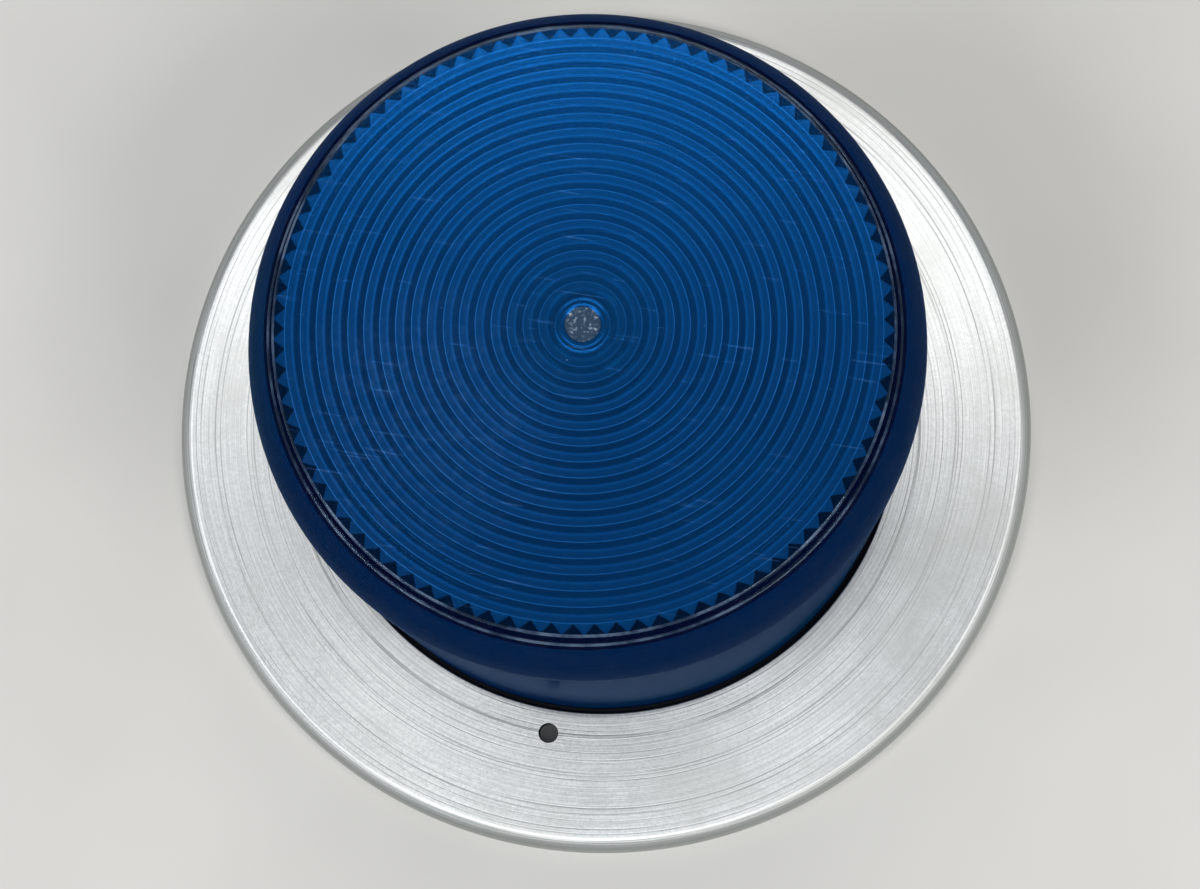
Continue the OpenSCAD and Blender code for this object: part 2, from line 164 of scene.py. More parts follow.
def turned_rings(bm, profile, segments, shift=None):
    """Rings of points from a profile turned round Z; a profile point on the axis stays single.

    shift(index, angle) moves a profile point in or out at that angle.
    """
    rings = []
    for index, (radius, z) in enumerate(profile):
        if radius <= ON_AXIS:
            rings.append([bm.verts.new((0.0, 0.0, z))])
            continue
        ring = []
        for s in range(segments):
            a = 2 * math.pi * s / segments
            r = radius + (shift(index, a) if shift else 0.0)
            ring.append(bm.verts.new((r * math.cos(a), r * math.sin(a), z)))
        rings.append(ring)
    return rings


def finished_mesh(bm, name):
    """A mesh of the faces built so far, all facing outward."""
    bmesh.ops.recalc_face_normals(bm, faces=bm.faces)
    mesh = bpy.data.meshes.new(name)
    bm.to_mesh(mesh)
    bm.free()
    return mesh


def lathe_ring(name, profile, segments):
    """A ring turned round Z from a profile that goes all the way round its section."""
    bm = bmesh.new()
    rings = turned_rings(bm, profile, segments)
    for low, high in zip(rings, rings[1:] + rings[:1]):
        join_rings(bm, low, high)
    return finished_mesh(bm, name)


def join_rings(bm, low, high, kind=0):
    """Faces between two rings of points, either of which may be a single point."""
    count = max(len(low), len(high))
    for s in range(count):
        t = (s + 1) % count
        if len(low) == 1:
            face = bm.faces.new((low[0], high[t], high[s]))
        elif len(high) == 1:
            face = bm.faces.new((low[s], low[t], high[0]))
        else:
            face = bm.faces.new((low[s], low[t], high[t], high[s]))
        face.material_index = kind


def cut_holes(obj, places, radius, low, high):
    """Drills round holes through a finished mesh."""
    bm = bmesh.new()
    for x, y in places:
        matrix = Matrix.Translation((x, y, (low + high) / 2))
        bmesh.ops.create_cone(
            bm, cap_ends=True, segments=DRILL_SEGMENTS, radius1=radius, radius2=radius,
            depth=high - low, matrix=matrix,
        )
    mesh = bpy.data.meshes.new("drill")
    bm.to_mesh(mesh)
    bm.free()
    drill = bpy.data.objects.new("drill", mesh)
    bpy.context.scene.collection.objects.link(drill)
    modifier = obj.modifiers.new("drill", "BOOLEAN")
    modifier.operation = "DIFFERENCE"
    modifier.solver = "EXACT"
    modifier.object = drill
    depsgraph = bpy.context.evaluated_depsgraph_get()
    cut = bpy.data.meshes.new_from_object(obj.evaluated_get(depsgraph))
    obj.modifiers.clear()
    obj.data = cut
    bpy.data.objects.remove(drill)


# ---------------------------------------------------------------- node graphs

class Graph:
    """A material's node tree, with short names for the nodes used here."""

    def __init__(self, name):
        self.material = bpy.data.materials.new(name)
        self.material.use_nodes = True
        self.tree = self.material.node_tree
        self.tree.nodes.clear()
        self.out = self.add("ShaderNodeOutputMaterial")
        self.shader = self.add("ShaderNodeBsdfPrincipled")
        self.link(self.shader.outputs["BSDF"], self.out.inputs["Surface"])
        self.place = self.add("ShaderNodeTexCoord").outputs["Object"]

    def add(self, kind, **settings):
        """A new node with the given settings."""
        node = self.tree.nodes.new(kind)
        for key, value in settings.items():
            setattr(node, key, value)
        return node

    def link(self, source, target):
        """Links an output to an input."""
        self.tree.links.new(source, target)

    def feed(self, socket, value):
        """Links a node's output to a socket, or sets a plain value on it."""
        if isinstance(value, bpy.types.NodeSocket):
            self.link(value, socket)
        elif isinstance(value, (tuple, list)) and len(value) == 3 and socket.type == "RGBA":
            socket.default_value = (*value, 1.0)
        else:
            socket.default_value = value

    def set(self, **values):
        """Sets shader inputs by name, with underscores for spaces."""
        for key, value in values.items():
            self.feed(self.shader.inputs[key.replace("_", " ")], value)

    def math(self, operation, a, b=0.0, clamp=False):
        """One step of arithmetic on outputs or plain numbers."""
        node = self.add("ShaderNodeMath", operation=operation, use_clamp=clamp)
        self.feed(node.inputs[0], a)
        self.feed(node.inputs[1], b)
        return node.outputs[0]

    def stretch(self, vector, scale):
        """The place scaled along each axis."""
        node = self.add("ShaderNodeMapping")
        self.link(vector, node.inputs["Vector"])
        node.inputs["Scale"].default_value = scale
        return node.outputs["Vector"]

    def noise(self, vector, scale, detail=3.0, rough=0.5):
        """Noise in space, with its scale in features per metre."""
        node = self.add("ShaderNodeTexNoise")
        self.link(vector, node.inputs["Vector"])
        node.inputs["Scale"].default_value = scale
        node.inputs["Detail"].default_value = detail
        node.inputs["Roughness"].default_value = rough
        return node.outputs["Fac"]

    def line_noise(self, value, scale, detail=3.0, rough=0.5):
        """Noise of one number, such as a radius."""
        node = self.add("ShaderNodeTexNoise", noise_dimensions="1D")
        self.feed(node.inputs["W"], value)
        node.inputs["Scale"].default_value = scale
        node.inputs["Detail"].default_value = detail
        node.inputs["Roughness"].default_value = rough
        return node.outputs["Fac"]

    def cells(self, vector, scale):
        """Distance to the nearest of many scattered points."""
        node = self.add("ShaderNodeTexVoronoi", feature="F1")
        self.link(vector, node.inputs["Vector"])
        node.inputs["Scale"].default_value = scale
        return node.outputs["Distance"]

    def spread(self, value, low, high, to_low=0.0, to_high=1.0, smooth=True):
        """Maps low..high to to_low..to_high, held at both ends."""
        node = self.add("ShaderNodeMapRange", clamp=True)
        if smooth:
            node.interpolation_type = "SMOOTHSTEP"
        self.feed(node.inputs["Value"], value)
        node.inputs["From Min"].default_value = low
        node.inputs["From Max"].default_value = high
        node.inputs["To Min"].default_value = to_low
        node.inputs["To Max"].default_value = to_high
        return node.outputs["Result"]

    def blend(self, amount, a, b):
        """Colour a, with an amount of colour b in its place."""
        node = self.add("ShaderNodeMix", data_type="RGBA", blend_type="MIX")
        self.feed(node.inputs["Factor"], amount)
        self.feed(node.inputs[6], a)
        self.feed(node.inputs[7], b)
        return node.outputs[2]

    def mix_shaders(self, share, a, b):
        """Surface a, with a share of surface b in its place."""
        node = self.add("ShaderNodeMixShader")
        self.feed(node.inputs[0], share)
        self.link(a, node.inputs[1])
        self.link(b, node.inputs[2])
        return node.outputs[0]

    def split(self, vector):
        """The x, y and z of a place."""
        node = self.add("ShaderNodeSeparateXYZ")
        self.link(vector, node.inputs[0])
        return node.outputs["X"], node.outputs["Y"], node.outputs["Z"]

    def radius(self, x, y):
        """Distance from the axis."""
        squares = self.math("ADD", self.math("MULTIPLY", x, x), self.math("MULTIPLY", y, y))
        return self.math("SQRT", squares)

    def bump(self, height, strength, distance):
        """A normal that follows a height, up to the given distance."""
        node = self.add("ShaderNodeBump")
        self.link(height, node.inputs["Height"])
        node.inputs["Strength"].default_value = strength
        node.inputs["Distance"].default_value = distance
        return node.outputs["Normal"]


def paint(material, *names):
    """Gives carried-over CAD nodes a finished material."""
    for name in names:
        slots = NODES[name].data.materials
        slots.clear()
        slots.append(material)


# ---------------------------------------------------------------- lens

FACE, GATE, SIDE, INNER, EDGE, STEP = range(6)
ACRYLIC_IOR = 1.49
DYE_TINT = (0.05, 0.80, 0.895)
DYE_DENSITY = 1700.0
CLEAR_TINT = (0.90, 0.97, 1.0)
WALL_TINT = (0.6, 0.72, 0.66)
DUSTY_TINT = (0.5, 0.62, 0.60)
GLOSS_TINT = (0.55, 0.75, 1.0)

# colours of the face's skin: painted highlight and shade of the rings, painted shade outside the prism
# teeth and in the middle, and wear
SKIN_PRISM_SHADE = (0.010, 0.028, 0.080)
SKIN_RING_SHADE = (0.003, 0.086, 0.31)
SKIN_RING_HIGHLIGHT = (0.004, 0.070, 0.25)
SKIN_CENTRE_SHADE = (0.004, 0.065, 0.16)
SKIN_CREST_HIGHLIGHT = (0.035, 0.22, 0.62)
SKIN_WORN = (0.30, 0.42, 0.55)
SKIN_SHEEN = (0.01, 0.26, 1.0)
SKIN_SHEEN_IOR = 3.0
SKIN_ROUGHNESS = 0.26

# how much of the face's skin hides the clear plastic: outside the teeth, and over the painted ring
# shade and highlight
SKIN_PRISM_SHADE_SHARE = 0.07
SKIN_RING_SHADE_SHARE = 0.14
SKIN_RING_HIGHLIGHT_SHARE = 0.66

# other surfaces of the lens: clean and dusty colour, share of skin
SIDE_LOOK = ((0.001, 0.045, 0.21), (0.015, 0.06, 0.22), 0.24)
# the step is painted darker than the sides, as shade
STEP_SHADE_LOOK = ((0.004, 0.018, 0.13), (0.02, 0.03, 0.13), 0.16)
# painted light: gain for brighter teal patches that stand for light refracted through the lens sides
TEAL_LIGHT_GAIN = (0.5, 2.2, 1.2)
EDGE_BLUE = (0.004, 0.05, 0.20)
# painted highlight: pale colour in patches along the lens's rounded edges
EDGE_HIGHLIGHT = (0.30, 0.40, 0.52)
GATE_BLUE = (0.004, 0.040, 0.10)
GATE_CHIP = (0.36, 0.48, 0.60)

SCUFF_AT = (-30.0 * MM, -26.0 * MM)
SCUFF_R = 40.0 * MM
# turn, scale and offset of each set of hairlines
HAIRLINES = ((0.5, 60.0, 0.0), (-0.9, 45.0, 3.7), (1.9, 52.0, 8.1))


def dyed(g, surface=None):
    """Blue dye through the whole thickness, under the given surface or the plain shader's own."""
    dye = g.add("ShaderNodeVolumeAbsorption")
    g.feed(dye.inputs["Color"], DYE_TINT)
    dye.inputs["Density"].default_value = DYE_DENSITY
    g.link(dye.outputs[0], g.out.inputs["Volume"])
    if surface is not None:
        g.tree.nodes.remove(g.shader)
        g.link(surface, g.out.inputs["Surface"])
    return g.material


def diffuse_skin(g, colour):
    """Matt coloured surface."""
    skin = g.add("ShaderNodeBsdfDiffuse")
    g.feed(skin.inputs["Color"], colour)
    return skin.outputs[0]


def sheen_skin(g, colour, normal):
    """Coloured surface of the face with a soft blue shine."""
    skin = g.add("ShaderNodeBsdfPrincipled")
    g.feed(skin.inputs["Base Color"], colour)
    g.feed(skin.inputs["Normal"], normal)
    g.feed(skin.inputs["Specular Tint"], SKIN_SHEEN)
    skin.inputs["Roughness"].default_value = SKIN_ROUGHNESS
    skin.inputs["IOR"].default_value = SKIN_SHEEN_IOR
    skin.inputs["Specular IOR Level"].default_value = 1.0
    return skin.outputs[0]


def lens_material():
    """Outside of the face: clear dyed plastic whose skin shows the moulded rings and teeth as painted
    highlights and shade.
    """
    g = Graph("blue_lens")
    x, y, _ = g.split(g.place)
    r = g.radius(x, y)
    scratch = scratches(g)
    normal = g.bump(scratch, 0.15, 0.1 * MM)
    rough = g.math("ADD", 0.05, g.math("MULTIPLY", scratch, 0.25))
    clear = dull_outside(g, CLEAR_TINT, rough, 0.03)
    level, line, teeth = moulded_pattern(g, x, y, r)
    # painted highlight and shade of the rings, and painted shade outside the prism teeth
    colour = g.blend(teeth, SKIN_PRISM_SHADE, g.blend(level, SKIN_RING_SHADE, SKIN_RING_HIGHLIGHT))
    # painted shade: the middle of the face is darker, standing in for the inside seen through it
    colour = g.blend(g.spread(r, 1.5 * GATE_R, 6.0 * GATE_R, 0.8, 0.0), colour, SKIN_CENTRE_SHADE)
    # painted highlight along each ring's crest
    colour = g.blend(g.math("MULTIPLY", line, 0.8), colour, SKIN_CREST_HIGHLIGHT)
    wear_and_fade = wear(g, x, y, scratch)
    skin = sheen_skin(g, g.blend(wear_and_fade, colour, SKIN_WORN), normal)
    # the skin covers most over the painted ring highlight, less over the painted shade, least outside
    # the teeth; wear adds to it
    inside = g.spread(level, 0.0, 1.0, SKIN_RING_SHADE_SHARE, SKIN_RING_HIGHLIGHT_SHARE, False)
    inside = g.math("MULTIPLY", teeth, g.math("SUBTRACT", inside, SKIN_PRISM_SHADE_SHARE))
    share = g.math("ADD", SKIN_PRISM_SHADE_SHARE, inside)
    share = g.math("ADD", share, g.math("MULTIPLY", wear_and_fade, 0.5), True)
    return dyed(g, g.mix_shaders(share, clear, skin))


def wear(g, x, y, scratch):
    """How far scuffs, scratches and dust whiten the face."""
    cloud = g.noise(g.place, 38.0, 4.0)
    scuff = g.math("MULTIPLY", scuff_patch(g, x, y), g.spread(cloud, 0.25, 0.75, 0.5, 1.0, False))
    mottle = g.spread(g.noise(g.place, 520.0, 5.0, 0.75), 0.45, 0.75, 0.3, 1.8, False)
    scuff = g.math("MULTIPLY", g.math("ADD", scuff, 0.12), mottle)
    wear_and_fade = g.math("ADD", g.math("MULTIPLY", scuff, 0.15), g.math("MULTIPLY", scratch, 0.35))
    return g.math("ADD", wear_and_fade, g.math("MULTIPLY", dust_specks(g), 0.5))


def inner_material():
    """Inner skin of the lens."""
    g = Graph("blue_lens_inside")
    cloud = g.noise(g.place, 90.0, 4.0)
    g.set(Base_Color=CLEAR_TINT, IOR=ACRYLIC_IOR, Transmission_Weight=1.0)
    g.set(Roughness=g.spread(cloud, 0.3, 0.7, 0.05, 0.09, False))
    return dyed(g)


def moulded_pattern(g, x, y, r):
    """Painted highlight and shade of the ring pattern, its painted crest highlights, and 1 inside the
    teeth that bound it.
    """
    t = g.math("FRACT", g.math("DIVIDE", g.math("SUBTRACT", RING_EDGE_R, r), RING_PITCH))
    crest_highlight = g.math("MAXIMUM", g.spread(t, 0.01, 0.07, 1.0, 0.0), g.spread(t, 0.98, 1.0))
    band = g.math("SUBTRACT", g.spread(t, 0.0, 0.04), g.spread(t, 0.50, 0.66))
    # a soft painted highlight part way across each ring
    soft = g.math("MULTIPLY", g.spread(t, 0.36, 0.48), g.spread(t, 0.50, 0.64, 1.0, 0.0))
    level = g.math("ADD", g.math("MULTIPLY", band, 0.25), g.math("MULTIPLY", crest_highlight, 0.95))
    level = g.math("ADD", level, g.math("MULTIPLY", soft, 0.35))
    ringed = g.spread(r, RING_EDGE_R, RING_EDGE_R + 0.12 * MM, 1.0, 0.0)
    # the painted highlight and shade are fainter in random patches and towards the middle
    wear_and_fade = g.noise(g.place, 16.0, 2.0)
    depth = g.math("MULTIPLY", ringed, g.spread(wear_and_fade, 0.35, 0.65, 0.55, 1.0))
    depth = g.math("MULTIPLY", depth, g.spread(r, 1.5 * GATE_R, 5.0 * GATE_R, 0.45, 1.0))
    plain = g.math("MULTIPLY", g.math("SUBTRACT", 1.0, depth), 0.22)
    level = g.math("ADD", g.math("MULTIPLY", level, depth), plain)
    line = g.math("MULTIPLY", crest_highlight, depth)
    return level, line, inside_teeth(g, x, y, r)


def inside_teeth(g, x, y, r):
    """1 inside the zigzag that the prisms below the face draw on it; outside it the face's skin is
    painted shade.
    """
    angle = g.math("MULTIPLY", g.math("ARCTAN2", y, x), PRISMS / (2 * math.pi))
    saw = g.math("PINGPONG", angle, 0.5)
    edge = g.math("SUBTRACT", VALLEY_R, g.math("MULTIPLY", saw, 2 * PRISM_DEPTH))
    return g.spread(g.math("SUBTRACT", edge, r), -0.05 * MM, 0.1 * MM)


def dust_specks(g):
    """Sparse pale specks, a few tenths of a millimetre across."""
    dots = g.spread(g.cells(g.place, 210.0), 0.03, 0.06, 1.0, 0.0)
    return g.math("MULTIPLY", dots, g.spread(g.noise(g.place, 95.0, 2.0), 0.58, 0.62))


def scuff_patch(g, x, y):
    """1 in the middle of the scuffed patch of the face, fading to 0 at its edge."""
    away = g.radius(g.math("SUBTRACT", x, SCUFF_AT[0]), g.math("SUBTRACT", y, SCUFF_AT[1]))
    return g.spread(away, 0.2 * SCUFF_R, SCUFF_R, 1.0, 0.0)


def scratches(g):
    """Thin hairlines in a few directions, broken into short runs."""
    found = None
    for turn, scale, offset in HAIRLINES:
        node = g.add("ShaderNodeMapping")
        g.link(g.place, node.inputs["Vector"])
        node.inputs["Rotation"].default_value = (0.0, 0.0, turn)
        node.inputs["Location"].default_value = (offset, offset, 0.0)
        node.inputs["Scale"].default_value = (1.0, 28.0, 1.0)
        lines = g.noise(node.outputs["Vector"], scale, 2.0)
        line = g.spread(lines, 0.70, 0.73, 0.0, 0.6)
        found = line if found is None else g.math("MAXIMUM", found, line)
    return found


def side_material(name, clean, dusty, share):
    """The lens shoulder, wall and step: the same dyed plastic with a duller, dusty outside, and random
    teal patches of painted light.
    """
    g = Graph(name)
    dust = g.noise(g.place, 240.0, 5.0, 0.7)
    drift = g.noise(g.place, 13.0, 2.0)
    tint = g.blend(g.spread(dust, 0.4, 0.8), WALL_TINT, DUSTY_TINT)
    clear = dull_outside(g, tint, 0.06, 0.13)
    colour = g.blend(g.spread(dust, 0.4, 0.8), clean, dusty)
    # painted light: brighter teal patches in random places
    teal_light = tuple(c * k for c, k in zip(clean, TEAL_LIGHT_GAIN))
    skin = diffuse_skin(g, g.blend(g.spread(drift, 0.52, 0.70, 0.0, 0.5), colour, teal_light))
    return dyed(g, g.mix_shaders(share, clear, skin))


def edge_material():
    """The face's and ledge's rounded edges: glossy, with pale patches of painted highlight along them.
    """
    g = Graph("blue_lens_edge")
    clear = dull_outside(g, WALL_TINT, 0.06, 1.0)
    # painted highlight: pale patches along the edge, where the skin also covers more of the clear
    # plastic
    edge_highlight = g.spread(g.noise(g.place, 60.0, 5.0, 0.7), 0.42, 0.62, 0.10, 0.50)
    skin = diffuse_skin(g, g.blend(edge_highlight, EDGE_BLUE, EDGE_HIGHLIGHT))
    return dyed(g, g.mix_shaders(edge_highlight, clear, skin))


def dull_outside(g, tint, rough, front):
    """Clear plastic with weak reflections outside (front) and full ones inside."""
    refraction = g.add("ShaderNodeBsdfRefraction")
    refraction.inputs["IOR"].default_value = ACRYLIC_IOR
    g.feed(refraction.inputs["Roughness"], rough)
    g.feed(refraction.inputs["Color"], tint)
    gloss = g.add("ShaderNodeBsdfAnisotropic")
    g.feed(gloss.inputs["Color"], GLOSS_TINT)
    gloss.inputs["Roughness"].default_value = 0.10
    fresnel = g.add("ShaderNodeFresnel")
    fresnel.inputs["IOR"].default_value = ACRYLIC_IOR
    back = g.add("ShaderNodeNewGeometry").outputs["Backfacing"]
    share = g.math("MULTIPLY", fresnel.outputs[0], g.spread(back, 0.0, 1.0, front, 1.0, False))
    return g.mix_shaders(share, refraction.outputs[0], gloss.outputs[0])


def gate_material():
    """Broken moulding mark: dark blue with pale sparkling chips."""
    g = Graph("gate_mark")
    fine = g.noise(g.place, 1500.0, 4.0, 0.65)
    patch = g.spread(g.noise(g.place, 420.0, 2.0), 0.40, 0.60, 0.15, 1.0)
    chips = g.math("MULTIPLY", g.spread(fine, 0.50, 0.66), patch)
    g.set(Base_Color=g.blend(chips, GATE_BLUE, GATE_CHIP))
    g.set(Roughness=0.4, Transmission_Weight=0.3, IOR=ACRYLIC_IOR, Specular_IOR_Level=0.3)
    g.set(Normal=g.bump(fine, 0.8, 0.3 * MM))
    return g.material


def outside_profile():
    """Outside of the lens, from the foot lip's underside to the rings round the moulding mark."""
    foot_top = LENS_FOOT + FOOT_H
    wall_foot = foot_top + MM
    round_in = FACE_R - FACE_ROUND
    points = [(FOOT_R, LENS_FOOT)]
    points += arc((FOOT_R - FOOT_FILLET, foot_top - FOOT_FILLET), FOOT_FILLET, 0, 90, 4)
    points += [(WALL_LOW_R + 0.6 * MM, foot_top), (WALL_LOW_R + 0.1 * MM, foot_top + 0.4 * MM)]
    for i in range(WALL_STEPS + 1):
        t = i / WALL_STEPS
        r = WALL_LOW_R + (WALL_TOP_R - WALL_LOW_R) * t
        points.append((r, wall_foot + (SHOULDER_Z - wall_foot) * t))
    points += arc((SHOULDER_X, SHOULDER_Z), SHOULDER_R, 2, 43.6, 22)
    points += arc((LEDGE_R - LEDGE_ROUND_IN, LEDGE_Z - LEDGE_ROUND), LEDGE_ROUND, 38, 90, 5)
    points += arc((FACE_R + STEP_FILLET_OUT, LEDGE_Z + STEP_FILLET), STEP_FILLET, 270, 190, 4)
    points += [(FACE_R, LENS_TOP - 0.7 * MM)]
    points += arc((round_in, LENS_TOP - FACE_ROUND), FACE_ROUND, 10, 90, 6)
    for i in range(1, FACE_STEPS):
        points.append((round_in - (round_in - GATE_R) * i / FACE_STEPS, LENS_TOP))
    return points


def gate_profile():
    """Two raised rings round the moulding mark, and its recess."""
    points = []
    for i in range(GATE_RING_STEPS + 1):
        t = i / GATE_RING_STEPS
        wave = GATE_RING_H * math.cos(t * 4 * math.pi)
        points.append((GATE_R + GATE_RINGS_W * (1 - t), LENS_TOP - GATE_RING_H + wave))
    points += [(GATE_R * r, LENS_TOP - GATE_DEPTH * drop) for r, drop in GATE_FLOOR]
    return points


def inside_profile():
    """Inside of the lens from the axis to the foot, and 1 for each point that follows the prisms."""
    points = [(0.0, FACE_UNDER)]
    half = RING_PITCH / 2 - RING_GAP
    for r in sorted(RING_OUTER_R - i * RING_PITCH for i in range(RINGS)):
        points += [(r + u * half, FACE_UNDER - RING_DEPTH * depth) for u, depth in RING_SHAPE]
    zig = [0.0] * len(points)
    for i in range(PRISM_STEPS + 1):
        points.append((VALLEY_R, FACE_UNDER - PRISM_H * i / PRISM_STEPS))
        zig.append(1.0)
    top_r = WALL_TOP_R - WALL_T
    low_r = WALL_LOW_R - WALL_T
    points += [(CONE_R, PRISM_BASE), (top_r, CONE_Z)]
    for i in range(1, INNER_WALL_STEPS + 1):
        t = i / INNER_WALL_STEPS
        points.append((top_r + (low_r - top_r) * t, CONE_Z + (LENS_FOOT - CONE_Z) * t))
    zig += [0.0] * (len(points) - len(zig))
    return points, zig


def prism_shift(angle):
    """0 at a valley and 1 at a prism's tip."""
    place = (angle * PRISMS / (2 * math.pi)) % 1.0
    return 1.0 - abs(2.0 * place - 1.0)


def lens_kind(radius, z):
    """Which material the faces after this point of the outside profile take.

    The two narrow bands are the rounded rims of the face and of the ledge below it.
    """
    if radius < GATE_R * 0.97:
        return GATE
    if FACE_R - 0.5 * MM < radius < FACE_R + 0.01 * MM and z > LENS_TOP - 0.65 * MM:
        return EDGE
    if LEDGE_R - 0.76 * MM < radius < LEDGE_R - 0.3 * MM and z > LEDGE_Z - 0.3 * MM:
        return EDGE
    if radius < FACE_R - 0.5 * MM:
        return FACE
    return STEP if z > LEDGE_Z - 0.6 * MM else SIDE


def lens_mesh():
    """A closed shell, up the outside to the axis and back down the inside to the foot."""
    outside = outside_profile() + gate_profile()
    inside, zig = inside_profile()
    first_inside = len(outside)

    def shift(index, angle):
        if index < first_inside:
            return 0.0
        return -zig[index - first_inside] * PRISM_DEPTH * prism_shift(angle)

    bm = bmesh.new()
    rings = turned_rings(bm, outside + inside, LENS_SEGMENTS, shift)
    for index in range(len(rings) - 1):
        if index == first_inside - 1:
            # the outside and the inside both end on the axis, with the face's thickness between
            continue
        kind = lens_kind(*outside[index]) if index < first_inside else INNER
        join_rings(bm, rings[index], rings[index + 1], kind)
    join_rings(bm, rings[-1], rings[0], SIDE)
    return finished_mesh(bm, "lens_shell")


def build_lens():
    """The lens with its real inner ridges and prisms, and a material for each kind of surface."""
    mesh = lens_mesh()
    shade(mesh, LENS_SHARP)
    lens = make_object("lens_shell", mesh, "housing")
    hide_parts("lens")
    side = side_material("blue_lens_side", *SIDE_LOOK)
    step = side_material("blue_lens_step_shade", *STEP_SHADE_LOOK)
    # in the order of FACE, GATE, SIDE, INNER, EDGE, STEP
    for material in (lens_material(), gate_material(), side, inner_material(), edge_material(), step):
        mesh.materials.append(material)


# ---------------------------------------------------------------- flange

METAL_DULL = (0.70, 0.725, 0.74)
METAL_BRIGHT = (0.93, 0.95, 0.96)
METAL_CUT = (0.33, 0.35, 0.36)
METAL_STAIN = (0.62, 0.64, 0.62)
METAL_RIM_SHADE = (0.50, 0.52, 0.50)


def flange_material():
    """Satin turned aluminium: fine dark lathe cuts, grain, faint stains, and a rougher rounded rim
    painted darker as shade.
    """
    g = Graph("turned_aluminium")
    x, y, _ = g.split(g.place)
    r = g.radius(x, y)
    runs = g.noise(ring_place(g, x, y, r), 90.0, 3.0)
    fine = g.line_noise(r, 3000.0, 3.0, 0.7)
    grain = g.noise(g.place, 1500.0, 3.0, 0.75)
    tone = g.math("ADD", g.math("MULTIPLY", fine, 0.35), g.math("MULTIPLY", runs, 0.30))
    tone = g.math("ADD", tone, g.math("MULTIPLY", grain, 0.35))
    light = g.blend(g.spread(tone, 0.42, 0.58), METAL_DULL, METAL_BRIGHT)
    cuts = g.spread(g.line_noise(r, 1600.0, 2.0, 0.6), 0.56, 0.66, 0.0, 0.75)
    deep = g.spread(g.line_noise(g.math("ADD", r, 0.5), 340.0, 4.0, 0.6), 0.64, 0.67, 0.0, 0.9)
    dark = g.math("MULTIPLY", g.math("MAXIMUM", cuts, deep), g.spread(runs, 0.35, 0.60))
    colour = g.blend(dark, light, METAL_CUT)
    stain = g.noise(g.place, 30.0, 6.0, 0.6)
    colour = g.blend(g.spread(stain, 0.45, 0.66, 0.0, 0.50), colour, METAL_STAIN)
    rim = g.spread(r, FLANGE_R - FLANGE_ROUND, FLANGE_R - 0.3 * FLANGE_ROUND)
    # painted shade: the rounded rim is darker
    colour = g.blend(g.math("MULTIPLY", rim, 0.7), colour, METAL_RIM_SHADE)
    g.set(Base_Color=colour, Metallic=1.0, Anisotropic=0.7)
    rough = g.spread(grain, 0.3, 0.7, 0.44, 0.56, False)
    g.set(Roughness=g.math("ADD", rough, g.math("MULTIPLY", rim, 0.15)))
    tangent = g.add("ShaderNodeTangent", direction_type="RADIAL", axis="Z")
    g.link(tangent.outputs[0], g.shader.inputs["Tangent"])
    g.set(Normal=g.bump(g.math("SUBTRACT", tone, dark), 0.25, 0.10 * MM))
    return g.material


def ring_place(g, x, y, r):
    """Coordinates that run along the lathe marks, so that noise breaks them into long arcs."""
    angle = g.math("ARCTAN2", y, x)
    node = g.add("ShaderNodeCombineXYZ")
    g.link(g.math("MULTIPLY", angle, 0.035), node.inputs["X"])
    g.link(g.math("MULTIPLY", r, 26.0), node.inputs["Y"])
    return node.outputs[0]


def flange_section():
    """Section of the turned sheet: opening, flat top, rounded outer edge, foot and underside."""
    under = FLANGE_TOP - FLANGE_T
    edge = (FLANGE_R - FLANGE_ROUND, FLANGE_TOP - FLANGE_ROUND)
    inner_r = FLANGE_R - FLANGE_T
    lip_r = OPENING_R + OPENING_LIP
    profile = [(OPENING_R, under + OPENING_LIP), (OPENING_R, FLANGE_TOP - OPENING_LIP)]
    profile += arc((lip_r, FLANGE_TOP - OPENING_LIP), OPENING_LIP, 150, 90, 3)
    for i in range(1, FLANGE_FLAT_STEPS):
        profile.append((lip_r + (edge[0] - lip_r) * i / FLANGE_FLAT_STEPS, FLANGE_TOP))
    profile += arc(edge, FLANGE_ROUND, 90, 0, 16)
    profile += [(FLANGE_R, FLANGE_FOOT_ROUND), (FLANGE_R - FLANGE_FOOT_ROUND, 0.0)]
    profile += [(inner_r, 0.0), (inner_r, edge[1])]
    profile += arc(edge, FLANGE_ROUND - FLANGE_T, 15, 90, 6)
    profile += [(lip_r, under)]
    return profile


def build_flange():
    """The trim flange with its screw holes drilled through."""
    mesh = lathe_ring("flange_shell", flange_section(), FLANGE_SEGMENTS)
    flange = make_object("flange_shell", mesh, "housing")
    places = []
    for i in range(SCREWS):
        a = math.radians(-90 + 360 / SCREWS * i)
        places.append((SCREW_CIRCLE_R * math.cos(a), SCREW_CIRCLE_R * math.sin(a)))
    cut_holes(flange, places, SCREW_HOLE_R, DRILL_FROM, DRILL_TO)
    shade(flange.data, FLANGE_SHARP)
    flange.data.materials.clear()
    flange.data.materials.append(flange_material())
    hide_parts("trim_flange")


# ---------------------------------------------------------------- simple finishes

